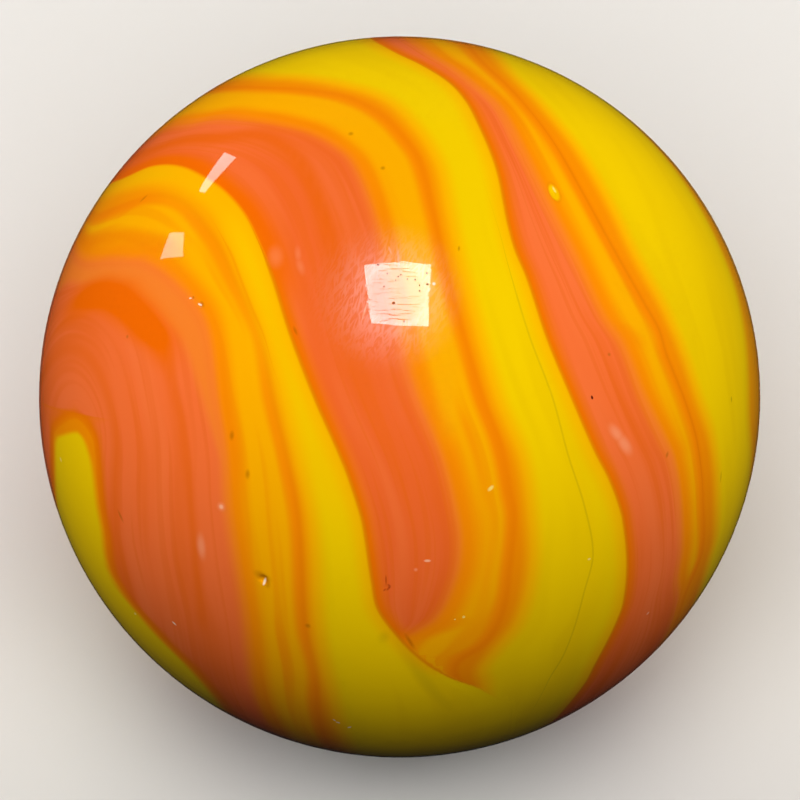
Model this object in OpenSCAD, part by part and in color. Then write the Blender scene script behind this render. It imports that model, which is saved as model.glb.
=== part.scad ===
// A swirl marble: one solid ball of opaque glass.
// Three ribbons, each running from coral through orange to yellow, are folded round it side by side.
// The origin is the centre of the ball, +Z is up, and -Y is the front.

/* [Ball] */
// Diameter of the marble
ball_d = 16; // [12:0.5:25]
// Facets round the ball
ball_facets = 96; // [48:12:144]

/* [Swirl] */
// How far the face of the swirl tips up from the front, in degrees
face_tilt = 52; // [0:1:90]
// Steps that trace each ribbon's edge round the ball
edge_steps = 48; // [36:12:72]
// Width of the deep orange line that each ribbon carries
line_w = 0.3; // [0.1:0.05:0.4]
// Width of the orange rim of the yellow tongue
tongue_rim_w = 0.35; // [0.2:0.05:0.5]

/* [Pits] */
// Length of the open bubble
bubble_len = 0.44; // [0.36:0.02:0.6]
// Width of the open bubble
bubble_w = 0.28; // [0.2:0.02:0.34]
// Diameter of the largest round pit
pit_d = 0.26; // [0.2:0.02:0.4]
// Diameter of the small round pits
small_pit_d = 0.14; // [0.08:0.02:0.2]
// Depth of a pit as a share of its width
pit_depth_share = 0.3; // [0.15:0.05:0.5]

/* [Hidden] */
ball_r = ball_d / 2;
coral_glass = "#e0623a";
orange_glass = "#f59a0a";
deep_orange_glass = "#e87800";
yellow_glass = "#f2cc05";
// The ribbons' side faces run this far out, clear of the ball
reach = 3 * ball_r;
// The far corner of the space on the left pole's side of an edge
far_left = [-40 * ball_r, 0, 0];
degrees_per_mm = 180 / (PI * ball_r);
// A colour narrower than this many degrees isn't drawn
least_width = 0.5;
line_half = line_w / 2 * degrees_per_mm;
tongue_rim = tongue_rim_w * degrees_per_mm;
pit_facets = 32;

// An edge is a loop round the ball, given as [turn, angle] points.
// The turn runs round the left-right axis: -90 is under the face, 0 on it, 90 over it, 180 behind.
// The angle runs from the left pole, at 0, to the right pole, at 180.
// Ribbon A, next to the left pole
a_coral_end = [[-90, 70], [-60, 66], [-40, 64.5], [-20, 62], [0, 60], [15, 56.5], [25, 50.5],
    [35, 40.5], [45, 31], [60, 27], [90, 25], [120, 27], [150, 36], [180, 47], [210, 55], [240, 64]];
a_line = [[-90, 79], [-60, 77.5], [-40, 75.5], [-20, 74.3], [-10, 72.5], [0, 70], [10, 68],
    [20, 64], [30, 60], [40, 53], [50, 44.5], [60, 37], [75, 32.5], [90, 31], [120, 33], [150, 42],
    [180, 54], [210, 64], [240, 73]];
a_end = [[-90, 105], [-65, 108], [-53, 102], [-45, 93], [-37, 87.5], [-30, 85.8], [-20, 84.4],
    [-10, 81.2], [0, 76.8], [10, 73], [20, 70], [30, 66.7], [40, 60.5], [50, 53], [60, 45.5],
    [70, 39], [90, 36], [120, 40], [150, 50], [180, 62], [210, 76], [230, 88], [250, 100]];
// Ribbon B, pinched out at both ends between its neighbours' yellow
b_coral_end = [[-90, 82], [-60, 84], [-45, 88], [-38, 93], [-30, 98], [-20, 98.5], [-10, 96.3],
    [0, 92.5], [20, 87.8], [30, 85.5], [40, 82], [47, 76], [56, 65], [66, 55], [80, 47], [90, 45],
    [120, 49], [150, 60], [180, 72], [210, 80], [240, 83]];
b_line = [[-90, 92], [-60, 95], [-50, 98], [-42, 103.5], [-35, 106.7], [-20, 108], [-10, 106],
    [0, 102.5], [15, 98.5], [35, 94.5], [45, 90.5], [52, 86], [60, 75.5], [70, 65], [80, 60],
    [90, 58], [120, 62], [150, 71], [180, 82], [210, 90], [240, 94]];
b_end = [[-90, 113], [-70, 119], [-50, 126.3], [-35, 128.3], [-20, 126.2], [-10, 122], [0, 117.7],
    [10, 113.5], [20, 110.2], [30, 107], [45, 104], [55, 100.6], [65, 94], [75, 87.5], [90, 85.5],
    [120, 90], [150, 99], [180, 106], [210, 108], [240, 109]];
// Ribbon C, on the right
c_coral_end = [[-90, 133], [-75, 137], [-60, 139.5], [-40, 139.8], [-20, 138.3], [-10, 135.3],
    [0, 130.7], [10, 126.5], [20, 120.7], [35, 113], [50, 107], [60, 101.5], [70, 94.5], [90, 91],
    [120, 97], [150, 110], [180, 120], [210, 124], [240, 128]];
c_line = [[-90, 138], [-65, 142], [-50, 146], [-30, 146], [-10, 143.7], [0, 140.5], [15, 134.5],
    [25, 128.5], [35, 122.5], [50, 114.7], [60, 109], [75, 102], [90, 100], [120, 106], [150, 119],
    [180, 130], [210, 134], [240, 136]];
c_end = [[-90, 162], [-50, 164.5], [-20, 163.5], [20, 161], [40, 159.5], [55, 153.5], [70, 145],
    [90, 138], [120, 136], [150, 142], [180, 150], [210, 155], [240, 159]];
// The orange round the right pole
right_orange_end = [[-90, 172], [-30, 175], [30, 174], [60, 170], [90, 164], [120, 160], [150, 160],
    [180, 164], [210, 167], [240, 170]];
// The yellow tongue lies where its lower edge is past its upper one, and ends where they cross
tongue_upper = [[-90, 18], [-60, 16.5], [-40, 17], [-20, 19.5], [-10, 23.5], [-5, 30], [10, 36],
    [90, 38], [160, 38], [176, 35], [190, 29], [210, 25], [240, 21]];
tongue_lower = [[-90, 62], [-75, 61], [-65, 55], [-57, 45], [-53, 39.5], [-40, 37.7], [-20, 36],
    [-10, 35], [-5, 30], [10, 28], [90, 28], [160, 32], [176, 35], [190, 40], [210, 46], [240, 54]];

// Blemishes, as [turn, angle]
bubble_place = [38, 114.7];
// The bubble's lean from the ribbon, in degrees
bubble_lean = 25;
pit_place = [-32.2, 68.4];
small_pit_places = [[17.3, 57.2], [18.8, 55.7], [-30.8, 88]];

// The point at a turn and an angle, at a distance from the centre
function spot(turn, angle, distance) =
    distance * [-cos(angle), -sin(angle) * cos(turn), sin(angle) * sin(turn)];

// A list with one point added before it and two after it, so that its curve closes
function closed_loop(points) =
    let(last = points[len(points) - 1])
    concat([last - [360, 0]], points, [points[0] + [360, 0], points[1] + [360, 0]]);

// The angle at a turn, on the smooth curve through the inner points of a list
function curve_angle(points, turn) =
    let(
        k = max([for (i = [1 : len(points) - 3]) if (points[i][0] <= turn) i]),
        span = points[k + 1][0] - points[k][0],
        u = (turn - points[k][0]) / span,
        leave = span * (points[k + 1][1] - points[k - 1][1]) / (points[k + 1][0] - points[k - 1][0]),
        arrive = span * (points[k + 2][1] - points[k][1]) / (points[k + 2][0] - points[k][0])
    )
    (2 * u ^ 3 - 3 * u ^ 2 + 1) * points[k][1] + (u ^ 3 - 2 * u ^ 2 + u) * leave
        + (3 * u ^ 2 - 2 * u ^ 3) * points[k + 1][1] + (u ^ 3 - u ^ 2) * arrive;

// An edge's angles at the steps round the ball, moved by some degrees
function traced(edge, move = 0) =
    let(loop = closed_loop(edge))
    [for (k = [0 : edge_steps - 1]) curve_angle(loop, step_turn(k)) + move];

function step_turn(k) = -90 + k * 360 / edge_steps;

// The angles of one traced edge where they lie past another's, and the other's elsewhere
function past(before, angles) =
    [for (k = [0 : edge_steps - 1]) angles[k] - before[k] < least_width ? before[k] : angles[k]];

// A traced edge as a ring of points outside the ball
function ring(angles) =
    [for (k = [0 : edge_steps - 1]) spot(step_turn(k), angles[k], reach)];

module ball() {
    sphere(d = ball_d, $fn = ball_facets);
}

// The space between two traced edges: a wedge from the middle of the ball, which runs all round
// or, where the edges meet, comes to a point at each end
module wedge(from, to) {
    steps = [0 : edge_steps - 1];
    open = [for (k = steps) to[k] > from[k]];
    faces = [
        for (k = steps)
            let(
                next = (k + 1) % edge_steps,
                inner = k + 1,
                inner_next = next + 1,
                outer = open[k] ? inner + edge_steps : inner,
                outer_next = open[next] ? inner_next + edge_steps : inner_next
            )
            if (open[k] || open[next])
                for (face = [
                    [0, inner_next, inner],
                    [0, outer, outer_next],
                    if (open[k]) [inner, inner_next, outer],
                    if (open[next]) [inner_next, outer_next, outer]
                ]) face
    ];
    polyhedron(points = concat([[0, 0, 0]], ring(from), ring(to)), faces = faces);
}

// Everything on the left pole's side of a traced edge
module left_of(angles) {
    steps = [0 : edge_steps - 1];
    polyhedron(
        points = concat([[0, 0, 0], far_left], ring(angles)),
        faces = [
            for (k = steps, outside = [false, true])
                let(here = k + 2, next = (k + 1) % edge_steps + 2)
                outside ? [1, next, here] : [0, here, next]
        ]
    );
}

module glass(from, to, colour) {
    color(colour)
        intersection() {
            ball();
            wedge(from, to);
        }
}

// One ribbon, from the traced end of the one before it to its own end
// Ribbon A has no coral here, because its coral is the left pole's
module ribbon(start, coral_end, line, end) {
    coral_edge = past(start, traced(coral_end));
    line_start = past(coral_edge, traced(line, -line_half));
    line_end = past(line_start, traced(line, line_half));
    if (coral_edge != start) {
        glass(start, coral_edge, coral_glass);
    }
    glass(coral_edge, line_start, orange_glass);
    glass(line_start, line_end, deep_orange_glass);
    glass(line_end, traced(end), yellow_glass);
}

// The coral glass at the left pole, with the yellow tongue in it
module left_pole(end) {
    upper = traced(tongue_upper);
    lower = past(upper, traced(tongue_lower));
    middle = (upper + lower) / 2;
    steps = [0 : edge_steps - 1];
    wide = [for (k = steps) lower[k] - upper[k] > 5 * tongue_rim];
    core_upper = [for (k = steps) wide[k] ? upper[k] + tongue_rim : middle[k]];
    core_lower = [for (k = steps) wide[k] ? lower[k] - tongue_rim : middle[k]];
    color(coral_glass)
        difference() {
            intersection() {
                ball();
                left_of(end);
            }
            wedge(upper, lower);
        }
    color(orange_glass)
        difference() {
            intersection() {
                ball();
                wedge(upper, lower);
            }
            wedge(core_upper, core_lower);
        }
    glass(core_upper, core_lower, yellow_glass);
}

// The orange and coral glass round the right pole
module right_pole(start) {
    orange_end = traced(right_orange_end);
    glass(start, orange_end, orange_glass);
    color(coral_glass)
        difference() {
            ball();
            left_of(orange_end);
        }
}

module swirl() {
    first = traced(a_coral_end);
    left_pole(first);
    ribbon(first, a_coral_end, a_line, a_end);
    ribbon(traced(a_end), b_coral_end, b_line, b_end);
    ribbon(traced(b_end), c_coral_end, c_line, c_end);
    right_pole(traced(c_end));
}

// Puts its child on the ball's surface at a place, with -Y outwards and Z along the ribbons
module on_surface(place) {
    rotate([-place[0], 0, 0])
        rotate([0, 0, place[1] - 90])
            translate([0, -ball_r, 0])
                children();
}

// The radius of a round cutter that is this wide where it meets the surface
function cutter_radius(width) = width * (0.25 + pit_depth_share ^ 2) / (2 * pit_depth_share);

module pit(place, width) {
    radius = cutter_radius(width);
    on_surface(place)
        translate([0, width * pit_depth_share - radius, 0])
            sphere(r = radius, $fn = pit_facets);
}

// The open bubble: a long pit with round ends
module bubble() {
    radius = cutter_radius(bubble_w);
    length = bubble_len - bubble_w;
    on_surface(bubble_place)
        rotate([0, -bubble_lean, 0])
            translate([0, bubble_w * pit_depth_share - radius, 0]) {
                cylinder(h = length, r = radius, center = true, $fn = pit_facets);
                for (end = [-1, 1]) {
                    translate([0, 0, end * length / 2])
                        sphere(r = radius, $fn = pit_facets);
                }
            }
}

module marble() {
    rotate([-face_tilt, 0, 0])
        difference() {
            swirl();
            bubble();
            pit(pit_place, pit_d);
            for (place = small_pit_places) {
                pit(place, small_pit_d);
            }
        }
}

marble();
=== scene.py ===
"""A swirl marble of opaque glass, on a pale floor under a soft studio light."""

import math

import bpy
import numpy as np
from mathutils import Matrix, Quaternion, Vector


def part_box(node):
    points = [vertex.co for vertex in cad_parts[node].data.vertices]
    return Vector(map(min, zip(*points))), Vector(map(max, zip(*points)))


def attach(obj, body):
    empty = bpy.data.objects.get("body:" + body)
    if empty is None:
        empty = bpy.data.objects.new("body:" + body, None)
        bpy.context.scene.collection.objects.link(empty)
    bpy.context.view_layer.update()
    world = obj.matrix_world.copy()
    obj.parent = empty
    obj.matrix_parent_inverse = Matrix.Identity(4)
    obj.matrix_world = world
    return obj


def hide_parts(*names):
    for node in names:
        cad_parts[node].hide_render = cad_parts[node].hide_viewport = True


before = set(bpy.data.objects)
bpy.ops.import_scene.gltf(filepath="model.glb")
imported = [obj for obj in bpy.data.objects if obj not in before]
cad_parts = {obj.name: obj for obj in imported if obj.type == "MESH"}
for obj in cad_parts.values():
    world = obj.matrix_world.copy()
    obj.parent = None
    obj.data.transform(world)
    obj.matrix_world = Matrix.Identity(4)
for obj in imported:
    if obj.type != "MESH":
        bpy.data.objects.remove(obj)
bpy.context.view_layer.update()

# ---------------------------------------------------------------------------------------------
# Sizes
# ---------------------------------------------------------------------------------------------

MM = 0.001
low_corner, high_corner = (Vector(corner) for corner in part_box("marble"))
BALL_R = (high_corner.x - low_corner.x) / 2
BALL_R_MM = BALL_R / MM
FLOOR_Z = -BALL_R

# How far the face of the swirl tips up from the front, in degrees
FACE_TILT = 52

# Grid lines of the ball: round the left-right axis, and from the left pole to the right one
TURN_LINES = 472
ANGLE_LINES = 208
# The turn of the first grid line, straight under the face, where the tables of edges start too
FIRST_TURN = -90
# At a pit the lines crowd together: over how many degrees, and how much denser they are there
CROWD_SPREAD = 2.5
CROWD_PULL = 4
# At how many places the density of the lines is worked out
CROWD_POINTS = 20001

# ---------------------------------------------------------------------------------------------
# The swirl's edges, as [turn, angle] points in degrees
# The turn runs round the left-right axis: -90 is under the face, 0 on it, 90 over it, 180 behind.
# The angle runs from the left pole, at 0, to the right pole, at 180.
# ---------------------------------------------------------------------------------------------

# Ribbon A, next to the left pole
A_CORAL_END = [
    [-90, 70], [-60, 66], [-40, 64.5], [-20, 62], [-10, 61.5], [0, 60], [10, 58.6], [15, 57],
    [21, 53.3], [27.5, 48.3], [31.3, 44.6], [33.7, 41.3], [37.1, 37.5], [41.3, 33.5], [47.2, 30],
    [55, 27.5], [65, 26], [90, 25], [120, 27], [150, 36], [180, 47], [210, 55], [240, 64],
]
A_LINE = [
    [-90, 79], [-60, 77], [-50, 77], [-40, 75.3], [-20, 74.3], [-10, 72.5], [0, 70], [10, 68.3],
    [16.7, 65.5], [20.4, 63.8], [24.4, 62.2], [28.7, 60.4], [32.5, 58.5], [35.9, 56.8],
    [39.8, 54.7], [43.2, 52.3], [46.6, 49.2], [48.8, 46.8], [51, 43.6], [55.6, 38.9], [60, 35.8],
    [66.2, 33.2], [78, 31.4], [90, 31], [120, 33], [150, 42], [180, 54], [210, 64], [240, 73],
]
A_YELLOW = [
    [-90, 82], [-60, 79.5], [-40, 77], [-20, 76], [0, 72], [10, 69.5], [20, 65.8], [30, 62.4],
    [36.5, 60.2], [45, 54.5], [53.3, 47.2], [60, 42], [70, 37], [90, 33], [120, 36], [150, 45],
    [180, 57], [210, 67], [240, 76],
]
A_END = [
    [-90, 105], [-65, 108], [-55, 103], [-50, 97.5], [-45, 93], [-40, 89.5], [-35, 86.7],
    [-30, 85.8], [-20, 84.4], [-15, 83], [-10, 81.2], [0, 76.8], [10, 73], [20, 70], [27.3, 67.5],
    [33.3, 65.1], [40, 61.3], [45.8, 57.3], [50, 54.5], [54.6, 51.1], [59.9, 46.8], [64.8, 42.4],
    [70.5, 39.3], [80, 36.8], [90, 36], [120, 40], [150, 50], [180, 62], [210, 76], [230, 88],
    [250, 100],
]

# Ribbon B, pinched out at both ends between its neighbours' yellow
B_CORAL_END = [
    [-90, 82], [-60, 84], [-50, 86], [-41, 90], [-37, 95], [-30, 98], [-25, 98.8], [-20, 98.5],
    [-10, 96.3], [0, 92.5], [5, 91], [20, 87.8], [30, 85.5], [40, 82], [44, 79], [47.5, 75.4],
    [51.6, 70.2], [56, 65], [61, 60], [66, 55], [73, 51], [80, 47], [90, 44.5], [120, 49],
    [150, 60], [180, 72], [210, 80], [240, 83],
]
B_LINE = [
    [-90, 98], [-62, 104], [-55, 102.6], [-51.7, 99.6], [-48.5, 98.7], [-46.3, 99.6],
    [-43.8, 103], [-40, 105.3], [-35, 106.7], [-30, 107.2], [-20, 108], [-15, 107.2],
    [-10, 106.3], [-6, 105.2], [0, 102.9], [10, 99.8], [20, 97.2], [30, 95.2], [40, 93],
    [45, 90.5], [50, 87.3], [55, 82.5], [60, 75.5], [65, 69], [70, 65], [75, 62], [80, 60],
    [90, 58], [120, 62], [150, 71], [180, 82], [210, 90], [240, 94],
]
B_YELLOW = [
    [-90, 100], [-60, 103], [-53.6, 103.2], [-49.3, 102.8], [-46, 104.5], [-40, 108.5],
    [-30, 110.7], [-20, 110.5], [-10, 109], [0, 105], [20, 99.5], [30, 97.5], [40, 95.5],
    [50, 90.5], [55, 86.5], [60, 80], [65, 74], [70, 69], [80, 63.5], [90, 61], [120, 65],
    [150, 74], [180, 85], [210, 93], [240, 97],
]
B_HAIRLINE = [
    [-90, 106], [-58, 114], [-52, 116.5], [-45, 118.5], [-38, 120], [-30, 121.6], [-20, 120],
    [-10, 117], [0, 114.3], [10, 110.5], [20, 107.5], [30, 105], [60, 96], [90, 82], [120, 86],
    [150, 95], [180, 102], [210, 104], [240, 105],
]
B_END = [
    [-90, 113], [-75, 117], [-65, 121], [-60, 122.5], [-50, 126.3], [-45, 127.7], [-35, 128.3],
    [-25, 127.4], [-20, 126.2], [-15, 124.4], [-10, 122], [0, 117.7], [10, 113.5], [20, 110.2],
    [25, 108.2], [30, 107], [40, 105.3], [50, 102.3], [55, 100.6], [60, 98], [65, 94], [70, 90],
    [75, 87.5], [80, 86], [90, 85.5], [120, 90], [150, 99], [180, 106], [210, 108], [240, 109],
]

# Ribbon C, on the right
C_CORAL_END = [
    [-90, 133], [-75, 137], [-60, 139.5], [-50, 139], [-40, 139.8], [-25, 139], [-15, 137.3],
    [-10, 135.3], [0, 130.7], [10, 126.7], [15, 123], [25, 118], [35, 113], [45, 108.8],
    [55, 105], [60, 101.5], [65, 98], [70, 94.5], [80, 91], [90, 90.5], [120, 97], [150, 110],
    [180, 120], [210, 124], [240, 128],
]
C_LINE = [
    [-90, 138], [-62, 141.5], [-50, 146], [-30, 146], [-20, 145.3], [-10, 143.7], [0, 140.5],
    [10, 136.3], [15, 134.7], [20, 131.5], [30, 125.2], [40, 119.7], [50, 114.7], [60, 109],
    [70, 103.5], [80, 101], [90, 100], [120, 106], [150, 119], [180, 130], [210, 134], [240, 136],
]
C_YELLOW = [
    [-90, 143], [-60, 148], [-50, 150], [-30, 150], [-20, 149.3], [-10, 147.5], [0, 144],
    [10, 140.5], [20, 135.8], [30, 129.5], [40, 124.5], [50, 119], [60, 112.5], [70, 107],
    [90, 104], [120, 110], [150, 123], [180, 134], [210, 138], [240, 140],
]
C_END = [
    [-90, 163], [-45, 165.5], [-10, 163.2], [13, 162.8], [36, 161], [52, 157], [60, 152],
    [68, 146], [74, 140], [79, 132.5], [86, 126], [100, 123], [120, 126], [150, 138], [180, 148],
    [210, 155], [240, 160],
]
RIGHT_ORANGE_END = [
    [-90, 172], [-30, 175], [30, 174], [60, 170], [90, 164], [120, 160], [150, 160], [180, 164],
    [210, 167], [240, 170],
]

# The yellow tongue lies where its lower edge is past its upper one, and ends where they cross
TONGUE_UPPER = [
    [-90, 18], [-60, 17], [-31, 17.1], [-19, 17.6], [-13.4, 19.6], [-9, 22.9], [-6.4, 26],
    [-4.5, 30], [10, 40], [90, 40], [160, 38], [176, 35], [190, 29], [210, 25], [240, 21],
]
TONGUE_LOWER = [
    [-90, 62], [-75, 61], [-65, 56], [-59, 48], [-55, 42], [-50, 38.3], [-38, 36.9], [-31, 35.7],
    [-23.7, 35], [-16.5, 34.5], [-12, 33.8], [-8.8, 32], [-6.6, 29.7], [-5, 26], [10, 20],
    [90, 20], [160, 32], [176, 35], [190, 40], [210, 46], [240, 54],
]
# The line down the middle of the tongue, which the coral's streaks bend round
TONGUE_SPINE = [
    [-12, 29], [-20, 28], [-40, 27.5], [-60, 33], [-90, 40], [-120, 38], [-150, 35], [-178, 35],
]

# Streaks of deeper colour that aren't ribbon edges: [turn, angle] points of each path
A_ARC = [
    [-90, 58], [-40, 57], [-5, 54], [0, 52.6], [10, 49.7], [15, 46.8], [20, 43.3], [25, 39.3],
    [30, 34.2], [35, 29.7], [40, 26.5], [50, 22], [90, 18], [150, 22], [200, 40], [240, 52],
]
A_SECOND = [
    [-90, 76], [0, 71.5], [5, 70], [10, 68.6], [15, 66.6], [20, 64.8], [28, 62], [40, 56],
    [50, 46.5], [60, 38], [90, 32], [150, 38], [200, 58], [240, 73],
]
# In the orange that arches over the left end
A_INNER = [
    [-90, 73], [0, 66], [20, 59], [29, 53], [32.6, 50.4], [35.6, 47.2], [40.4, 42.6], [46.1, 37.6],
    [54.6, 31.7], [65, 29.3], [90, 28], [120, 30], [150, 39], [180, 51], [210, 60], [240, 69],
]
# Past this path, coral A is a warmer one
A_WARM = [
    [-90, 100], [-40, 74], [-20, 66], [-10, 61], [0, 57.5], [10, 54], [15, 50.5], [20, 46.5],
    [25, 42], [30, 36.5], [35, 32], [40, 28.5], [50, 24], [60, 20], [90, 18], [150, 30],
    [200, 60], [240, 85],
]
# Along the start of coral B, high on the left
B_DEEP = [
    [-90, 105], [-30, 88], [0, 79], [20, 72], [25, 70.3], [30, 68.2], [35, 65.6], [40, 62],
    [50, 55.8], [60, 48], [70, 41], [90, 37.5], [120, 41], [180, 63], [240, 94],
]
# Down the middle of ribbon B's orange
B_AMBER = [
    [-90, 90], [0, 98], [20, 93], [25, 92.3], [30, 91.3], [35, 90], [40, 88], [45, 84.5],
    [50, 80.5], [55, 75], [60, 69], [70, 60], [80, 54], [90, 52], [120, 56], [180, 78], [240, 88],
]
# Down the middle of ribbon A's yellow
A_AMBER = [
    [-90, 98], [-45, 87], [-20, 81], [0, 74.8], [10, 71.5], [20, 68.3], [30, 64.9], [40, 60],
    [50, 52.8], [60, 45.5], [70, 38.6], [90, 34.8], [120, 38], [180, 60], [240, 86],
]
B_ARC = [
    [-90, 78], [-60, 80], [-20, 91], [0, 86], [20, 81], [40, 75], [48, 70], [51, 66.6],
    [55, 59.7], [62.6, 51.5], [69, 45.7], [80, 42], [90, 41], [120, 45], [150, 56], [180, 68],
    [210, 77], [240, 80],
]

# The edges by the name of their field
EDGES = {
    "a_coral": A_CORAL_END, "a_line": A_LINE, "a_yellow": A_YELLOW, "a_end": A_END,
    "a_warm": A_WARM, "b_coral": B_CORAL_END, "b_line": B_LINE, "b_yellow": B_YELLOW,
    "b_end": B_END, "c_coral": C_CORAL_END, "c_line": C_LINE, "c_yellow": C_YELLOW,
    "c_end": C_END, "right_orange": RIGHT_ORANGE_END,
}
# Streaks with ends: the path, the turns at which it starts and ends, and how many degrees of turn
# past them it takes to narrow e times
STREAKS = {
    "hairline": (B_HAIRLINE, -56, 16, 6),
    "a_edge": (A_END, -48, 22, 3),
    "b_edge": (B_END, -70, 60, 8),
    "a_second": (A_SECOND, 13, 26, 4),
    "c_core": (C_LINE, -15, 45, 10),
}
# The greatest power of e by which a streak narrows
MOST_NARROWING = 8
# Soft streaks that fade out past their ends: the path, the turns at which it starts and ends, and
# over how many degrees it fades for each mm of its half width
SOFT_STREAKS = {
    "a_arc": (A_ARC, 15, 30, 18),
    "a_faint": (A_ARC, -45, 8, 30),
    "b_arc": (B_ARC, 28, 70, 60),
    "b_deep": (B_DEEP, 24, 75, 30),
    "a_inner": (A_INNER, 35, 90, 30),
    "a_amber": (A_AMBER, -8, 38, 18),
    "a_arch": (A_AMBER, 38, 200, 14),
    "a_lead": (A_END, -46, 200, 14),
    "b_amber": (B_AMBER, 4, 75, 30),
}

# The edges that the streaks run along, and each zone's usual width up to the edge, in mm
ZONES = [
    (A_CORAL_END, 0), (A_LINE, 1.5), (A_END, 1.2), (B_CORAL_END, 2.2), (B_LINE, 1.3), (B_END, 2),
    (C_CORAL_END, 1.8), (C_LINE, 1.2), (C_END, 3), (RIGHT_ORANGE_END, 1.5),
]
# How much the flow changes over the coral round the tongue
LEFT_CORAL_MM = 2.8
# The least width of a zone, in degrees, that the flow still changes over
LEAST_GAP = 0.5
# Added to a distance that is divided by
NEVER_ZERO_MM = 0.01
# The least sine of an angle from the left pole that an edge's slope is worked out with
LEAST_ACROSS = 0.2

# How far the tongue's tip is rounded, and how wide its orange rim is along it and, beyond that,
# at the tip: the turn of the tip and the degrees over which the rim widens
TIP_ROUNDING_MM = 0.12
TONGUE_RIM_MM = 0.2
TIP_RIM_MM = 0.36
TIP_TURN = -9
TIP_SPREAD = 8

# ---------------------------------------------------------------------------------------------
# Blemishes, painted highlights and reflections, and painted shade in the pits
# A round mark is the turn and angle of its middle in degrees, and its radius in mm. A long one is
# the turn and angle, its half length and half width in mm, and its lean in degrees: 0 runs round
# the left-right axis, and 90 toward the right pole.
# ---------------------------------------------------------------------------------------------

# Pits in the surface, each with its depth in mm at the end. The bubble is one that broke open.
PITS = {
    "bubble": (37.7, 114.8, 0.25, 0.14, -21, 0.05),
    "pit": (-32.1, 68.4, 0.13, 0.11, -4, 0.06),
    "small pit": (17.2, 57.4, 0.065, 0.055, 0, 0.03),
    "smaller pit": (18.9, 55.8, 0.045, 0.04, 0, 0.02),
    "chip": (-30.9, 88, 0.075, 0.055, 25, 0.012),
}
# The bubble's field stops at this many times the way to its rim
FAR_FROM_BUBBLE = 9

SOFT_BROWN_MARKS = [
    (46.1, 82.4, 0.045), (-6.7, 63.1, 0.08, 0.044, 7), (-13.2, 65.8, 0.08, 0.042, 5),
    (-30, 40.5, 0.11, 0.03, -39), (14.1, 42.3, 0.032), (49.4, 45.6, 0.094, 0.027, 80),
    (10.7, 73.7, 0.08, 0.025, -23), (38.3, 87.4, 0.04), (23.9, 99.2, 0.05, 0.02, 5),
    (-13.2, 136.6, 0.055, 0.033, 19), (8, 124.5, 0.03), (-39.8, 75.6, 0.05),
    # The next five lie in the pits: brown of their own, and painted shade on their walls
    (-31.5, 68.2, 0.15, 0.085, -69), (-32.5, 69, 0.11, 0.06, -4), (17.3, 57.8, 0.06, 0.03, -32),
    (17, 57.7, 0.045, 0.025, 44), (18.9, 56.1, 0.035, 0.02, -34),
    (-41.5, 91.6, 0.18, 0.035, -24),
]
DARK_RED_MARKS = [
    (-29.6, 87.9, 0.1, 0.018, -1), (-30.6, 88.4, 0.04, 0.02, -42),
    (-31.1, 88.3, 0.065, 0.024, 37), (-31.4, 87.7, 0.035, 0.02, 41),
]
BLACK_MARKS = [(-0.1, 121.3, 0.042, 0.026, -20)]
OLIVE_MARKS = [(-27.4, 151.6, 0.12, 0.02, 5), (-0.9, 155.3, 0.06, 0.03, -7)]
FAINT_OLIVE_MARKS = [(-40.6, 87.6, 0.14, 0.1, 20), (-50.4, 93.8, 1, 0.13, -25)]
# Small dark specks, each in a pit of its own size
SPECKS = [
    (14.6, 89.1, 0.032), (18.4, 92.4, 0.019), (18.9, 89.8, 0.016), (18.5, 91.2, 0.014),
    (19.2, 90.2, 0.014), (18.3, 89.4, 0.013), (17.3, 87.6, 0.016), (16.6, 93.1, 0.018),
    (17.5, 93.1, 0.016), (11.7, 90.7, 0.018), (19.5, 94.2, 0.019), (17.7, 94.3, 0.026),
    (20.9, 86.7, 0.025), (19.4, 88.1, 0.016),
]
# Painted reflections: pale spots and smears laid where the glass faintly mirrors the lights
PALE_PAINTED_REFLECTIONS = [
    (-28.7, 57.5, 0.25, 0.09, -4), (-7, 125.9, 0.21, 0.1, -43), (-9.3, 127.5, 0.23, 0.11, -40),
    (-19.8, 61.2, 0.08), (-27.8, 92.5, 0.035),
]
# Faint pale pink patches
FAINT_PALE_PATCHES = [
    (23.7, 70.5, 0.2, 0.13, -9), (23.6, 74.1, 0.15, 0.055, -6), (21.4, 74.5, 0.16, 0.065, -18),
]
# Painted highlights: the lights mirrored in single scratches of the worn patch, drawn as pale
# strokes
SCRATCH_GLINTS = [
    (13.4, 84.6, 0.183, 0.015, 16), (22.1, 89.8, 0.16, 0.022, -3), (23.3, 88.5, 0.076, 0.02, -21),
]
# Painted highlights: pale spots where small pits, nicks and the open bubble mirror the lights
CORAL_GLINTS = [
    (-19.8, 61.2, 0.045), (-26.3, 94.3, 0.066, 0.029, -88), (-53.8, 132.8, 0.037, 0.027, 65),
]
YELLOW_GLINTS = [
    (-14.7, 104.2, 0.07, 0.038, 49), (-37.2, 100, 0.03), (-37.5, 98.6, 0.018),
    (-59.8, 43.5, 0.05, 0.028, 23), (-30.8, 120.9, 0.034, 0.024, -89),
    (-28, 21.5, 0.055, 0.035, -64), (38.5, 114.9, 0.07, 0.022, -33),
]
GLINTS = [
    (17.8, 95.3, 0.032), (-32.6, 68.5, 0.08, 0.028, 12), (17.3, 57.3, 0.045, 0.02, -63),
    (18.9, 55.5, 0.026, 0.018, 84), (-51.7, 52, 0.054, 0.024, -68), (82, 8, 0.05, 0.03, 0),
    (-64.7, 80.3, 0.042, 0.029, -63), (-64, 79.7, 0.045, 0.02, -33), (-66, 82.1, 0.06, 0.022, 35),
]

# ---------------------------------------------------------------------------------------------
# Colours
# ---------------------------------------------------------------------------------------------

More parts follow.
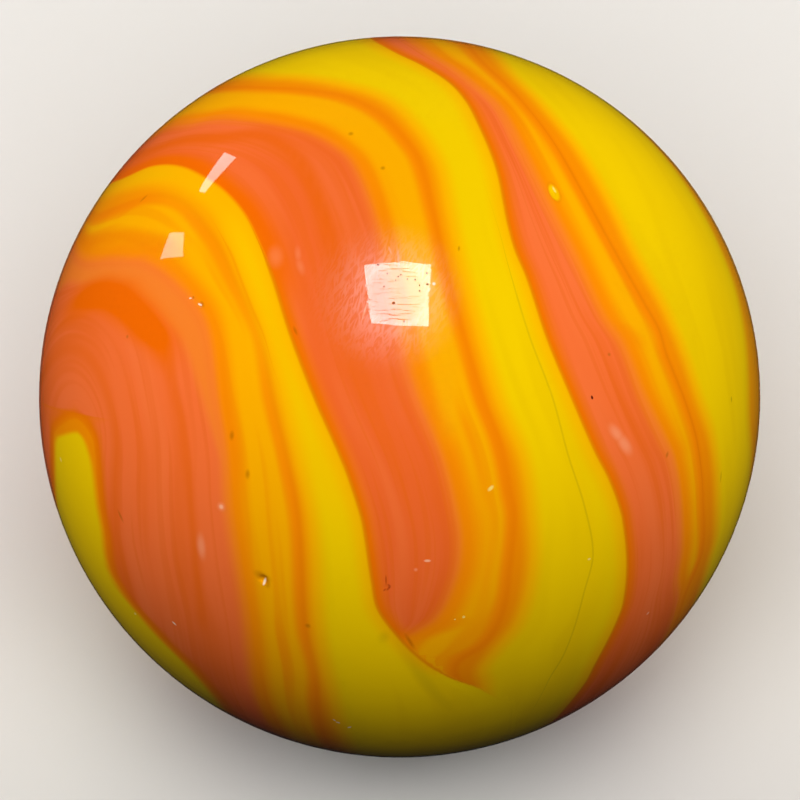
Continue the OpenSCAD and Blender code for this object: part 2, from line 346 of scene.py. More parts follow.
CORAL = "#f67034"
MID_CORAL = "#f0672a"
DEEP_CORAL = "#f07200"
WARM_CORAL = "#f68028"
PALE_CORAL = "#f8783f"
STREAK_ORANGE = "#ec6410"
ARC_ORANGE = "#f26800"
ORANGE = "#fa8c02"
AMBER = "#fcac00"
BAND_ORANGE = "#f88e00"
LINE_ORANGE = "#f47e00"
EDGE_ORANGE = "#de7200"
RIGHT_ORANGE = "#f09c00"
YELLOW = "#f5cb00"
WARM_YELLOW = "#f8be00"
DULL_YELLOW = "#dca800"
GOLD = "#fcc400"
OLIVE = "#b8960a"
BROWN = "#b05800"
DARK_RED = "#b03808"
BLACK = "#5a0a06"
SPECK_BROWN = "#5a3010"
# Pale colours of the painted highlights and reflections; the faint pale patches use the first one
# too
PALE_PINK = "#ffa478"
CORAL_GLINT = "#ffb48c"
YELLOW_GLINT = "#ffe070"
PALE = "#ffe8c8"
CARD = "#dedbd6"
WALLS = "#ffffff"

# ---------------------------------------------------------------------------------------------
# How the colours lie
# ---------------------------------------------------------------------------------------------

# The grain of the drawn-out glass: how wide its streaks are in mm, and how long
GRAIN_MM = {"broad": 0.6, "fine": 0.32, "finest": 0.13}
GRAIN_LONG_MM = 6
# How much finer detail the grain has, and how strong that is
GRAIN_DETAIL = 1.2
GRAIN_ROUGHNESS = 0.6

# Coats of colour, in the order they are laid. Each has the field that it follows, its colour, the
# field's values where it starts and where it is full, and how strong it is there. The fields of
# edges and streaks are distances in mm, and the grain's run from 0 to 1. "by" a field is the
# distance from where it is 0, on either side.

# Inside each ribbon: its coral, its orange, the line and band at the end of that, and its yellow
CORAL_COATS = [
    ("broad", PALE_CORAL, 0.46, 0.62, 0.35),
    ("broad", STREAK_ORANGE, 0.46, 0.32, 0.4),
    ("fine", STREAK_ORANGE, 0.52, 0.66, 0.3),
    ("finest", STREAK_ORANGE, 0.5, 0.62, 0.35),
    ("start", DEEP_CORAL, 0.4, 0.04, 1),
]
ORANGE_COATS = [
    ("coral", AMBER, 0.25, 0.7, 1),
    ("line", ORANGE, -0.35, -0.1, 1),
    ("broad", ORANGE, 0.46, 0.34, 0.5),
    ("fine", LINE_ORANGE, 0.5, 0.66, 0.3),
]
LINE_COATS = [
    ("line", BAND_ORANGE, -0.12, 0.03, 1),
    ("by line", LINE_ORANGE, 0.14, 0, 0.65),
    ("yellow", AMBER, -0.3, 0.05, 1),
]
YELLOW_COATS = [("broad", DULL_YELLOW, 0.5, 0.65, 0.15)]

# Over the whole of ribbon A, B or C: streaks that only that one has
A_COATS = [
    ("warm_coral", WARM_CORAL, -0.15, 0.2, 1),
    ("by inner_arch", STREAK_ORANGE, 0.2, 0, 0.6),
    ("a_faint", STREAK_ORANGE, 0.25, 0, 0.6),
    ("a_arc", ARC_ORANGE, 0.75, 0, 1.5),
    ("a_inner", LINE_ORANGE, 0.35, 0, 0.7),
    ("by a_second", LINE_ORANGE, 0.06, 0, 0.8),
    ("a_amber", WARM_YELLOW, 1, 0, 0.6),
    ("a_arch", AMBER, 1, 0, 0.5),
    ("a_lead", AMBER, 0.45, 0, 0.7),
]
B_COATS = [
    ("b_amber", AMBER, 0.5, 0, 1),
    ("b_arc", STREAK_ORANGE, 0.35, 0, 0.9),
    ("b_deep", ARC_ORANGE, 0.4, 0, 0.9),
    ("b_end", AMBER, -0.5, 0, 0.7),
    ("by hairline", OLIVE, 0.04, 0, 0.38),
]
C_COATS = [("by c_core", EDGE_ORANGE, 0.06, 0, 0.3)]

# Over the ribbons: the line where one follows another, the orange past them, and the tongue
A_TO_B_COATS = [("by a_edge", EDGE_ORANGE, 0.08, 0, 0.6)]
B_TO_C_COATS = [("by b_edge", EDGE_ORANGE, 0.08, 0, 0.6)]
END_COATS = [
    ("c_end", RIGHT_ORANGE, -0.25, 0.4, 1),
    ("right_orange", BAND_ORANGE, -0.2, 0.2, 1),
    ("tongue", BAND_ORANGE, -0.06, 0.14, 1),
    ("by tongue", LINE_ORANGE, 0.16, 0, 0.6),
    ("tongue_yellow", YELLOW, -0.15, 0.2, 1),
]
# The open bubble: a dark rim and a golden floor, by shares of the way to its rim
BUBBLE_COATS = [("bubble", EDGE_ORANGE, 1.3, 1, 0.2), ("bubble", GOLD, 1.05, 0.6, 1)]

# Where one glass gives way to the next: how far past the edge that starts and ends, in mm
CORAL_TO_ORANGE = (-0.08, 0.42)
ORANGE_TO_YELLOW = (-0.1, 0.4)
RIBBON_TO_RIBBON = (-0.06, 0.06)
# How far the coral's end strays along the grain, in mm
FEATHER_MM = 0.28
# The flow at the middle of the coral's inner arch, round the tongue
INNER_ARCH_MM = -1.9

# Marks, in the order they are laid: their places, their colour, how soft their rims are, as a
# share of their size, and how strong they are. The pale reflections and scratch glints are painted
# highlights, and the brown at the pits is partly painted shade.
STAINS_AND_PAINTED_LIGHT = [
    (PALE_PAINTED_REFLECTIONS, PALE_PINK, 0.8, 0.5),
    (FAINT_PALE_PATCHES, PALE_PINK, 0.9, 0.22),
    (SCRATCH_GLINTS, PALE_PINK, 0.8, 0.6),
    (SOFT_BROWN_MARKS, BROWN, 0.9, 0.55),
    (OLIVE_MARKS, OLIVE, 0.5, 0.7),
    (FAINT_OLIVE_MARKS, OLIVE, 0.9, 0.28),
    (DARK_RED_MARKS, DARK_RED, 0.7, 0.65),
    (BLACK_MARKS, BLACK, 0.3, 1),
    (SPECKS, SPECK_BROWN, 0.5, 0.65),
]
# Painted highlights, laid over all the rest
PAINTED_GLINTS = [
    (CORAL_GLINTS, CORAL_GLINT, 0.5, 0.9),
    (YELLOW_GLINTS, YELLOW_GLINT, 0.5, 0.9),
    (GLINTS, PALE, 0.5, 0.95),
]

# ---------------------------------------------------------------------------------------------
# Gloss and wear
# ---------------------------------------------------------------------------------------------

GLASS_ROUGHNESS = 0.025
GLASS_IOR = 1.52
# The worn patch and the smooth spot in it: the turn and angle of each one's middle, and the
# distances from it, in mm, over which it fades out
WORN = (16.3, 87.5, 0.5, 1.9)
SMOOTH = (16, 89.5, 0.45, 0.8)
# Scratches in the worn patch: their length and width, and the ways they run. Real ones are
# mostly much finer than this. These are as coarse as they need to be to show.
SCRATCH_LONG_MM = 0.3
SCRATCH_WIDE_MM = 0.045
SCRATCH_WAYS = [(0.42, 0.84, 0.33), (0.66, 0.7, 0.27), (0.1, 0.93, 0.36)]
# The noise's values where a scratch starts and where it is full
RIDGE = (0.5, 0.7)
# How much of the worn patch is dulled, between the scratches and on them, and the rough coat that
# dulls it
HAZE_LEAST = 0.3
HAZE_MOST = 0.9
HAZE_ROUGHNESS = 0.36
HAZE_IOR = 1.7
# Hairlines in the smooth spot: which way they run, and their length, width and depth. They too
# are drawn several times as wide as real ones, so that they show.
HAIR_WAY = (1, 0, 0)
HAIR_LONG_MM = 0.5
HAIR_WIDE_MM = 0.05
HAIR_DEEP_MM = 0.0012
# How high the glass waves, and over what distance
WAVE_HIGH_MM = 0.003
WAVE_LONG_MM = 0.6
# How deep the pit round a speck is, and how far it reaches, as a share of the speck's radius
SPECK_DEEP_MM = 0.008
SPECK_PIT_REACH = 1.1

FLOOR_ROUGHNESS = 0.9

# ---------------------------------------------------------------------------------------------
# The studio's lights and camera
# ---------------------------------------------------------------------------------------------

# Half the width of the floor, in metres
FLOOR_HALF = 1.5

# Lights that only the glass mirrors: how far they are from the ball in metres, and for each the
# way to it, the way its back faces, how far it is rolled in degrees, its size in metres and its
# radiance
MIRRORED_FAR = 0.3
MIRRORED_LIGHTS = {
    "key": ((-0.008, -0.112, 0.994), (0.143, 0.291, 0.946), -153.4, (0.098, 0.114), 12),
    "back_left": ((-0.644, 0.715, 0.271), (0.66, 0.714, 0.233), 106.3, (0.019, 0.267), 5.4),
    "left": ((-0.819, 0.509, 0.264), (-0.697, -0.699, -0.16), 78.1, (0.035, 0.171), 4.2),
}
# Soft lights that the ball doesn't mirror: how far they are from it and how wide, and for each
# its compass turn from the front and its angle above the floor, in degrees, and how brightly it
# lights a white surface that faces it where the ball is
WASH_FAR = 8 * BALL_R
WASH_WIDE = 0.6 * WASH_FAR
WASHES = {
    "wash_front": (0, 58, 0.92),
    "wash_right": (110, 10, 0.67),
    "wash_left": (250, 10, 0.7),
    "wash_back": (180, 18, 0.58),
}
ROOM_LIGHT = 0.01

# The camera's lens and sensor, how far it stands from the ball, and where it aims: to the right
# of the ball's middle, and below it as it sees it
LENS_MM = 507
SENSOR_MM = 36
CAMERA_FAR_MM = 250
AIM_RIGHT_MM = 0.009
AIM_LOW_MM = 0.067
CLIP_START = 0.01


def linear(colour):
    """The linear RGBA of an sRGB hex colour."""
    parts = [int(colour[k : k + 2], 16) / 255 for k in (1, 3, 5)]
    return (*(p / 12.92 if p <= 0.04045 else ((p + 0.055) / 1.055) ** 2.4 for p in parts), 1)


# ---------------------------------------------------------------------------------------------
# The ball's surface
# ---------------------------------------------------------------------------------------------


def place(turn, angle, radius=1.0):
    """Points at a turn and an angle, in degrees, on a ball of that radius about the origin.

    x = -cos(angle), y = -sin(angle) cos(turn + tilt), z = sin(angle) sin(turn + tilt).
    """
    turn, angle = np.radians(turn + FACE_TILT), np.radians(angle)
    across = np.sin(angle)
    x = -np.cos(angle) + 0 * turn
    return radius * np.stack([x, -across * np.cos(turn), across * np.sin(turn)], -1)


def traced(points, turn):
    """The angle and the slope of an edge at each turn.

    A cubic Hermite curve through the points, closed round the ball. Its slope at a point is that
    of the chord between the point's neighbours.
    """
    turns, angles = np.array(points, float).T
    turns = np.concatenate([turns[-2:] - 360, turns, turns[:3] + 360])
    angles = np.concatenate([angles[-2:], angles, angles[:3]])
    slopes = np.gradient(angles, turns)
    slopes[1:-1] = (angles[2:] - angles[:-2]) / (turns[2:] - turns[:-2])
    k = np.searchsorted(turns, turn, side="right") - 1
    span = turns[k + 1] - turns[k]
    u = (turn - turns[k]) / span
    leave, arrive = slopes[k] * span, slopes[k + 1] * span
    angle = (
        (2 * u**3 - 3 * u**2 + 1) * angles[k]
        + (u**3 - 2 * u**2 + u) * leave
        + (3 * u**2 - 2 * u**3) * angles[k + 1]
        + (u**3 - u**2) * arrive
    )
    slope = (
        6 * (u**2 - u) * (angles[k] - angles[k + 1])
        + (3 * u**2 - 4 * u + 1) * leave
        + (3 * u**2 - 2 * u) * arrive
    ) / span
    return angle, slope


def past(points, turn, angle):
    """How far each place lies past an edge, in mm, measured square to the edge.

    The angle past the edge, as an arc, over the length of the edge's slope.
    """
    edge, slope = traced(points, turn)
    steepness = slope / np.maximum(np.sin(np.radians(angle)), LEAST_ACROSS)
    return np.radians(angle - edge) * BALL_R_MM / np.hypot(1, steepness)


def from_spine(spots):
    """How far each spot on the unit ball is from the tongue's spine, in mm.

    The least distance to any straight piece of the spine.
    """
    joints = place(*np.array(TONGUE_SPINE, float).T)
    least = np.full(spots.shape[:-1], np.inf)
    for start, end in zip(joints[:-1], joints[1:]):
        run = end - start
        along = np.clip((spots - start) @ run / (run @ run), 0, 1)
        least = np.minimum(least, np.linalg.norm(spots - start - along[..., None] * run, axis=-1))
    return least * BALL_R_MM


def crowded(start, end, lines, places):
    """lines + 1 values from start to end, closer together near some places.

    Their density is 1, plus the pull times a bell curve at each place. The values share out
    equally the area under it.
    """
    fine = np.linspace(start, end, CROWD_POINTS)
    bells = sum(np.exp(-(((fine - spot) / CROWD_SPREAD) ** 2)) for spot in places)
    density = 1 + CROWD_PULL * bells
    area = np.concatenate([[0], np.cumsum((density[1:] + density[:-1]) / 2)])
    return np.interp(np.linspace(0, area[-1], lines + 1), area, fine)


def pit_share(turn, angle, pit):
    """How far each place is from a pit's middle, as a share of the way to its oval rim."""
    pit_turn, pit_angle, half_length, half_width, lean, _ = pit
    across = np.radians(angle - pit_angle) * BALL_R_MM
    along = np.radians(turn - pit_turn) * BALL_R_MM * math.sin(math.radians(pit_angle))
    c, s = math.cos(math.radians(lean)), math.sin(math.radians(lean))
    return np.hypot((along * c + across * s) / half_length, (across * c - along * s) / half_width)


def pit_depth(turn, angle):
    """How deep each place lies in the pits, in mm.

    A pit is a bowl with an oval rim: its depth is its greatest depth times 1 - r^2, where r is
    the distance from its middle as a share of the rim's.
    """
    bowls = (
        pit[-1] * np.clip(1 - pit_share(turn, angle, pit) ** 2, 0, None) for pit in PITS.values()
    )
    return sum(bowls)


def flow(turn, angle, spots):
    """How far each place lies across the swirl, in mm.

    Its level lines run as the glass did. Between two edges it grows by that zone's usual width,
    however near together they run, so its level lines meet where the zone pinches out. Round the
    tongue it follows the tongue, and by the coral's end it runs along that edge.
    """
    angles = [traced(edge, turn)[0] for edge, _ in ZONES]
    across = 0
    for before, after, (_, width) in zip(angles[:-1], angles[1:], ZONES[1:]):
        share = np.clip((angle - before) / np.maximum(after - before, LEAST_GAP), 0, 1)
        across = across + width * share
    rest = np.radians(np.maximum(angles[0] - angle, 0)) * BALL_R_MM
    return across - LEFT_CORAL_MM * rest / (from_spine(spots) + rest + NEVER_ZERO_MM)


def outside(turn, first, last):
    """How many degrees each turn lies before a streak's first one or after its last."""
    return np.maximum(np.maximum(first - turn, turn - last), 0)


def swirl_fields(turn, angle, spots):
    """The fields that the glass is coloured by, as {name: values}, for places on the ball.

    An edge's field is the distance past it in mm. A streak's is too, but beyond its ends it grows
    so fast that the streak comes to a point. A soft streak's is the distance from it, and beyond
    its ends from them.
    """
    fields = {name: past(points, turn, angle) for name, points in EDGES.items()}
    for name, (points, first, last, taper) in STREAKS.items():
        narrowing = np.exp(np.minimum(outside(turn, first, last) / taper, MOST_NARROWING))
        fields[name] = past(points, turn, angle) * narrowing
    for name, (points, first, last, fade) in SOFT_STREAKS.items():
        fields[name] = np.hypot(past(points, turn, angle), outside(turn, first, last) / fade)
    upper = past(TONGUE_UPPER, turn, angle)
    lower = -past(TONGUE_LOWER, turn, angle)
    # A smooth least of the two, which rounds the tongue's tip
    fields["tongue"] = (upper + lower - np.hypot(upper - lower, TIP_ROUNDING_MM)) / 2
    at_tip = np.exp(-(((turn - TIP_TURN) / TIP_SPREAD) ** 2))
    fields["tongue_yellow"] = fields["tongue"] - TONGUE_RIM_MM - TIP_RIM_MM * at_tip
    fields["flow"] = flow(turn, angle, spots)
    fields["bubble"] = np.minimum(pit_share(turn, angle, PITS["bubble"]), FAR_FROM_BUBBLE)
    return fields


def glass_ball():
    """The marble: a grid over turn and angle on the ball, sunk at the pits, with its fields.

    The grid's lines crowd together at the pits. Each pole is one point with a fan round it.
    """
    pit_turns, pit_angles = ([pit[k] for pit in PITS.values()] for k in (0, 1))
    turn = crowded(FIRST_TURN, FIRST_TURN + 360, TURN_LINES, pit_turns)[:-1]
    angle = crowded(0, 180, ANGLE_LINES, pit_angles)[1:-1]
    turn, angle = (grid.ravel() for grid in np.meshgrid(turn, angle))
    turn, angle = np.append(turn, [0, 0]), np.append(angle, [0, 180])
    spots = place(turn, angle)
    points = spots * (BALL_R - pit_depth(turn, angle) * MM)[:, None]

    rows = ANGLE_LINES - 1
    number = np.arange(rows * TURN_LINES).reshape(rows, TURN_LINES)
    after = np.roll(number, -1, axis=1)
    quads = np.stack([number[:-1], number[1:], after[1:], after[:-1]], -1).reshape(-1, 4)
    left_pole, right_pole = rows * TURN_LINES, rows * TURN_LINES + 1
    left_fan = np.stack([np.full(TURN_LINES, left_pole), number[0], after[0]], -1)
    right_fan = np.stack([np.full(TURN_LINES, right_pole), after[-1], number[-1]], -1)

    mesh = bpy.data.meshes.new("glass_ball")
    mesh.from_pydata(points.tolist(), [], quads.tolist() + left_fan.tolist() + right_fan.tolist())
    for name, values in swirl_fields(turn, angle, spots).items():
        mesh.attributes.new(name, "FLOAT", "POINT").data.foreach_set("value", values)
    mesh.shade_smooth()
    piece = bpy.data.objects.new("glass_ball", mesh)
    bpy.context.collection.objects.link(piece)
    return piece


# ---------------------------------------------------------------------------------------------
# Materials
# ---------------------------------------------------------------------------------------------


def add(tree, kind, inputs, output=0, **settings):
    """Adds a node with its settings, sets or links its inputs, and gives back one output."""
    node = tree.nodes.new("ShaderNode" + kind)
    for name, value in settings.items():
        setattr(node, name, value)
    for key, value in inputs.items():
        if isinstance(value, bpy.types.NodeSocket):
            tree.links.new(value, node.inputs[key])
        else:
            node.inputs[key].default_value = value
    return node.outputs[output] if node.outputs else None


def lay(tree, below, colour, distance, start, full, strength=1.0):
    """Lays a colour over the one below, from none where the distance is start to full strength."""
    amount = add(
        tree,
        "MapRange",
        {"Value": distance, "From Min": start, "From Max": full, "To Max": strength},
        interpolation_type="SMOOTHSTEP",
    )
    return add(tree, "Mix", {0: amount, 6: below, 7: colour}, 2, data_type="RGBA")


def lay_coats(tree, below, fields, coats):
    """Lays coats of colour over the one below, each where its field says."""
    for name, colour, start, full, strength in coats:
        distance = fields[name.removeprefix("by ")]
        if name.startswith("by "):
            distance = add(tree, "Math", {0: distance}, operation="ABSOLUTE")
        below = lay(tree, below, linear(colour), distance, start, full, strength)
    return below


def grain(tree, spot, flow_mm, wide_mm):
    """Noise drawn out along the flow, into streaks of that width.

    The noise's scale, which sets the length of the streaks, acts on its fourth number, W, too.
    """
    across = add(
        tree, "Math", {0: flow_mm, 1: GRAIN_LONG_MM * MM / wide_mm}, operation="MULTIPLY"
    )
    return add(
        tree,
        "TexNoise",
        {
            "Vector": spot,
            "W": across,
            "Scale": 1 / (GRAIN_LONG_MM * MM),
            "Detail": GRAIN_DETAIL,
            "Roughness": GRAIN_ROUGHNESS,
        },
        noise_dimensions="4D",
    )


def ribbon(tree, letter, coral, start, grains):
    """The colours across one ribbon: coral, orange, a dark line with an orange band, and yellow.

    coral is its first colour, and start the distance past its first edge in mm.
    """
    fields = {
        name: add(tree, "Attribute", {}, "Fac", attribute_name=letter + "_" + name)
        for name in ("coral", "line", "yellow")
    }
    fields |= {"start": start, **grains}
    feathered = add(
        tree,
        "Math",
        {0: fields["fine"], 1: FEATHER_MM, 2: fields["coral"]},
        operation="MULTIPLY_ADD",
    )
    coral_glass = lay_coats(tree, linear(coral), fields, CORAL_COATS)
    orange_glass = lay_coats(tree, linear(ORANGE), fields, ORANGE_COATS)
    glass = lay(tree, coral_glass, orange_glass, feathered, *CORAL_TO_ORANGE)
    glass = lay_coats(tree, glass, fields, LINE_COATS)
    yellow_glass = lay_coats(tree, linear(YELLOW), fields, YELLOW_COATS)
    return lay(tree, glass, yellow_glass, fields["yellow"], *ORANGE_TO_YELLOW)


def nearest(tree, spot, places):
    """How far a spot is from the nearest mark's middle, as a share of the way to its rim.

    A long mark is measured along its own axes, and a round one straight out.
    """
    least = None
    for turn, angle, size, *shape in places:
        middle = Vector(place(turn, angle, BALL_R))
        if shape:
            half_width, lean = shape
            outward = middle.normalized()
            rightward = (Vector((1, 0, 0)) - outward.x * outward).normalized()
            round_axis = outward.cross(rightward)
            c, s = math.cos(math.radians(lean)), math.sin(math.radians(lean))
            long_way = round_axis * c + rightward * s
            own_axes = Matrix((long_way, outward.cross(long_way), outward)).transposed()
            own_spot = add(
                tree,
                "Mapping",
                {
                    "Vector": spot,
                    "Location": middle,
                    "Rotation": own_axes.to_euler(),
                    "Scale": (size * MM, half_width * MM, BALL_R),
                },
                vector_type="TEXTURE",
            )
            share = add(tree, "VectorMath", {0: own_spot}, "Value", operation="LENGTH")
        else:
            away = add(tree, "VectorMath", {0: spot, 1: middle}, "Value", operation="DISTANCE")
            share = add(tree, "Math", {0: away, 1: size * MM}, operation="DIVIDE")
        if least:
            share = add(tree, "Math", {0: least, 1: share}, operation="MINIMUM")
        least = share
    return least


def lay_marks(tree, spot, below, marks):
    """Lays oval marks over the colour below.

    They fade out over their softness on either side of their rims.
    """
    for places, colour, softness, strength in marks:
        share = nearest(tree, spot, places)
        rim = (1 + softness, 1 - softness)
        below = lay(tree, below, linear(colour), share, *rim, strength)
    return below


def near_to(tree, spot, patch):
    """1 at the middle of a patch, fading to 0 between its two distances from there."""
    turn, angle, near, far = patch
    away = add(
        tree,
        "VectorMath",
        {0: spot, 1: place(turn, angle, BALL_R)},
        "Value",
        operation="DISTANCE",
    )
    return add(
        tree,
        "MapRange",
        {"Value": away, "From Min": far * MM, "From Max": near * MM},
        interpolation_type="SMOOTHSTEP",
    )


def scratches(tree, spot, toward, long_mm, wide_mm):
    """Fine straight scratches that run toward a direction, from 0 to 1.

    Noise drawn out along the direction. Only its highest ridges are scratches.
    """
    drawn_out = add(
        tree,
        "Mapping",
        {
            "Vector": spot,
            "Rotation": Vector(toward).to_track_quat("Z", "Y").to_euler(),
            "Scale": Vector((wide_mm, wide_mm, long_mm)) * MM,
        },
        vector_type="TEXTURE",
    )
    ridges = add(tree, "TexNoise", {"Vector": drawn_out, "Scale": 1.0, "Detail": 0.0})
    start, full = RIDGE
    return add(
        tree,
        "MapRange",
        {"Value": ridges, "From Min": start, "From Max": full},
        interpolation_type="SMOOTHSTEP",
    )


def haze(tree, spot):
    """How much of the surface is dulled by scratches too fine to see one by one, from 0 to 1.

    The worn patch is dulled all over but for its smooth spot, and most on the strokes of heavier
    wear that cross it.
    """
    strokes = None
    for toward in SCRATCH_WAYS:
        more = scratches(tree, spot, toward, SCRATCH_LONG_MM, SCRATCH_WIDE_MM)
        if strokes:
            more = add(tree, "Math", {0: strokes, 1: more}, operation="MAXIMUM")
        strokes = more
    amount = add(tree, "MapRange", {"Value": strokes, "To Min": HAZE_LEAST, "To Max": HAZE_MOST})
    smooth = near_to(tree, spot, SMOOTH)
    worn = add(tree, "Math", {0: near_to(tree, spot, WORN), 1: smooth}, operation="SUBTRACT")
    return add(tree, "Math", {0: amount, 1: worn}, operation="MULTIPLY")


def handled_surface(tree, spot):
    """The normal of polished glass that has been played with.

    It waves very slightly, and has hairlines in the smooth spot and a pit at each speck. They
    show in the mirrored lights, which a slope turns aside by double its own angle.
    """
    hairs = scratches(tree, spot, HAIR_WAY, HAIR_LONG_MM, HAIR_WIDE_MM)
    smooth = near_to(tree, spot, SMOOTH)
    hairs = add(tree, "Math", {0: hairs, 1: smooth}, operation="MULTIPLY")
    normal = add(tree, "Bump", {"Height": hairs, "Distance": -HAIR_DEEP_MM * MM})
    waves = add(tree, "TexNoise", {"Vector": spot, "Scale": 1 / (WAVE_LONG_MM * MM), "Detail": 0.0})
    normal = add(
        tree, "Bump", {"Height": waves, "Distance": WAVE_HIGH_MM * MM, "Normal": normal}
    )
    pits = add(
        tree,
        "MapRange",
        {"Value": nearest(tree, spot, SPECKS), "From Min": SPECK_PIT_REACH, "From Max": 0.0},
        interpolation_type="SMOOTHSTEP",
    )
    return add(tree, "Bump", {"Height": pits, "Distance": -SPECK_DEEP_MM * MM, "Normal": normal})


def swirl(tree, spot, fields):
    """The swirl's colour: the three ribbons side by side, the orange past them and the tongue."""
    across = fields["flow"]
    grains = {name: grain(tree, spot, across, wide_mm) for name, wide_mm in GRAIN_MM.items()}

    before_tongue = add(tree, "Math", {0: fields["tongue"], 1: -1.0}, operation="MULTIPLY")
    a_glass = ribbon(tree, "a", CORAL, before_tongue, grains)
    before_orange = add(tree, "Math", {0: fields["a_coral"], 1: -1.0}, operation="MULTIPLY")
    a_fields = {
        "warm_coral": add(
            tree, "Math", {0: fields["a_warm"], 1: before_orange}, operation="MINIMUM"
        ),
        "inner_arch": add(tree, "Math", {0: across, 1: INNER_ARCH_MM}, operation="SUBTRACT"),
    }
    a_glass = lay_coats(tree, a_glass, fields | a_fields, A_COATS)
    b_glass = ribbon(tree, "b", MID_CORAL, fields["a_end"], grains)
    b_glass = lay_coats(tree, b_glass, fields, B_COATS)
    c_glass = ribbon(tree, "c", CORAL, fields["b_end"], grains)
    c_glass = lay_coats(tree, c_glass, fields, C_COATS)

    glass = lay(tree, a_glass, b_glass, fields["a_end"], *RIBBON_TO_RIBBON)
    glass = lay_coats(tree, glass, fields, A_TO_B_COATS)
    glass = lay(tree, glass, c_glass, fields["b_end"], *RIBBON_TO_RIBBON)
    glass = lay_coats(tree, glass, fields, B_TO_C_COATS)
    return lay_coats(tree, glass, fields, END_COATS)


def swirled_glass():
    """Opaque soda-lime glass, pressed into a ball while soft and tumbled smooth.

    It has the clean gloss of glass over ribbons of colour that were folded when molten, so their
    edges are sharp on one side and drawn out into streaks on the other. A rough coat where it is
    worn spreads the highlight there into a soft haze.
    """
    material = bpy.data.materials.new("swirled_soda_lime_glass")
    material.use_nodes = True
    tree = material.node_tree
    tree.nodes.clear()
    spot = add(tree, "TexCoord", {}, "Object")
    names = ["flow", "tongue_yellow", "tongue", "a_coral", "a_warm", "a_end", "b_end", "c_end"]
    names += ["right_orange", "bubble", *STREAKS, *SOFT_STREAKS]
    fields = {name: add(tree, "Attribute", {}, "Fac", attribute_name=name) for name in names}

    colour = swirl(tree, spot, fields)
    colour = lay_marks(tree, spot, colour, STAINS_AND_PAINTED_LIGHT)
    colour = lay_coats(tree, colour, fields, BUBBLE_COATS)
    colour = lay_marks(tree, spot, colour, PAINTED_GLINTS)
    glass = add(
        tree,
        "BsdfPrincipled",
        {
            "Base Color": colour,
            "Roughness": GLASS_ROUGHNESS,
            "IOR": GLASS_IOR,
            "Normal": handled_surface(tree, spot),
            "Coat Weight": haze(tree, spot),
            "Coat Roughness": HAZE_ROUGHNESS,
            "Coat IOR": HAZE_IOR,
        },
    )
    add(tree, "OutputMaterial", {"Surface": glass})
    return material


def floor_card():
    """Matt pale card under the marble: a plain backdrop with no pattern."""
    material = bpy.data.materials.new("matt_pale_card")
    material.use_nodes = True
    shader = material.node_tree.nodes["Principled BSDF"]
    shader.inputs["Base Color"].default_value = linear(CARD)
    shader.inputs["Roughness"].default_value = FLOOR_ROUGHNESS
    return material


# ---------------------------------------------------------------------------------------------
# The studio
# ---------------------------------------------------------------------------------------------


def softbox(name, place_at, back, roll, size, radiance, lights, mirrored):
    """A rectangle of white light, whose back faces along a direction.

    lights says whether it lights the ball and the floor, mirrored whether the ball mirrors it.
    """
    light = bpy.data.lights.new(name, "AREA")
    light.shape = "RECTANGLE"
    light.size, light.size_y = size
    light.energy = radiance * math.pi * size[0] * size[1]
    lamp = bpy.data.objects.new(name, light)
    lamp.location = place_at
    facing = Vector(back).to_track_quat("Z", "Y") @ Quaternion((0, 0, 1), math.radians(roll))
    lamp.rotation_euler = facing.to_euler()
    lamp.visible_camera = False
    lamp.visible_diffuse = lights
    lamp.visible_glossy = mirrored
    bpy.context.collection.objects.link(lamp)
    return lamp


def mirrored_light(name, toward, back, roll, size, radiance):
    """A light that shows only as a highlight on the glass."""
    return softbox(name, Vector(toward) * MIRRORED_FAR, back, roll, size, radiance, False, True)


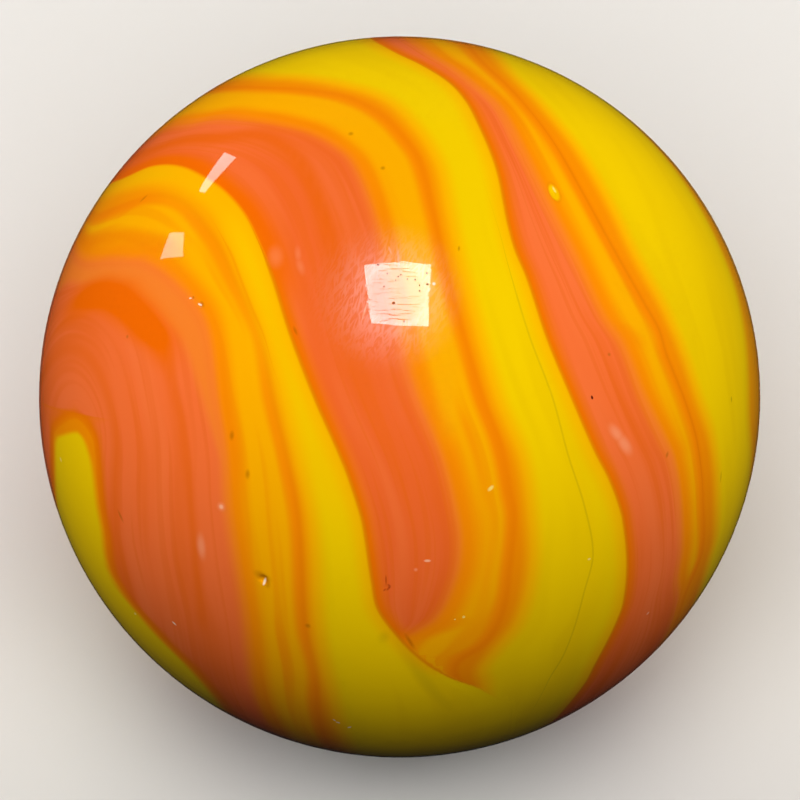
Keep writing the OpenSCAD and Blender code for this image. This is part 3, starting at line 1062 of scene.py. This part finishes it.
def wash(name, turn, rise, brightness):
    """A soft light close to the ball, which faces it and isn't mirrored."""
    turn, rise = math.radians(turn), math.radians(rise)
    toward = Vector(
        (math.sin(turn) * math.cos(rise), -math.cos(turn) * math.cos(rise), math.sin(rise))
    )
    radiance = brightness * (WASH_FAR / WASH_WIDE) ** 2 * math.pi
    size = (WASH_WIDE, WASH_WIDE)
    return softbox(name, toward * WASH_FAR, toward, 0, size, radiance, True, False)


def lay_floor():
    """A flat square of card that the ball stands on, wide enough to fill every view."""
    mesh = bpy.data.meshes.new("floor")
    corners = [(-1, -1), (1, -1), (1, 1), (-1, 1)]
    points = [(x * FLOOR_HALF, y * FLOOR_HALF, FLOOR_Z) for x, y in corners]
    mesh.from_pydata(points, [], [(0, 1, 2, 3)])
    floor = bpy.data.objects.new("floor", mesh)
    bpy.context.collection.objects.link(floor)
    mesh.materials.append(floor_card())
    # It neither lights the ball from below nor shows in its gloss
    floor.visible_diffuse = False
    floor.visible_glossy = False
    return floor


def set_camera():
    """A long lens that looks square at the face of the swirl."""
    data = bpy.data.cameras.new("camera")
    data.lens = LENS_MM
    data.sensor_width = SENSOR_MM
    data.clip_start = CLIP_START
    camera = bpy.data.objects.new("camera", data)
    tilt = math.radians(FACE_TILT)
    toward = Vector((0, -math.cos(tilt), math.sin(tilt)))
    upward = Vector((0, math.sin(tilt), math.cos(tilt)))
    aim = Vector((AIM_RIGHT_MM, 0, 0)) * MM - upward * (AIM_LOW_MM * MM)
    camera.location = aim + toward * (CAMERA_FAR_MM * MM)
    camera.rotation_euler = (math.radians(90) - tilt, 0, 0)
    bpy.context.collection.objects.link(camera)
    bpy.context.scene.camera = camera


def set_world():
    """A faint, even light from all round, as from the walls of the room."""
    world = bpy.data.worlds.new("room")
    world.use_nodes = True
    walls = world.node_tree.nodes["Background"]
    walls.inputs["Color"].default_value = linear(WALLS)
    walls.inputs["Strength"].default_value = ROOM_LIGHT
    bpy.context.scene.world = world


# ---------------------------------------------------------------------------------------------
# Making
# ---------------------------------------------------------------------------------------------

marble = glass_ball()
marble.data.materials.append(swirled_glass())
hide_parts("marble")
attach(marble, "root")

lay_floor()
set_world()
for name, settings in MIRRORED_LIGHTS.items():
    mirrored_light(name, *settings)
for name, settings in WASHES.items():
    wash(name, *settings)
set_camera()
bpy.context.scene.view_settings.view_transform = "Standard"
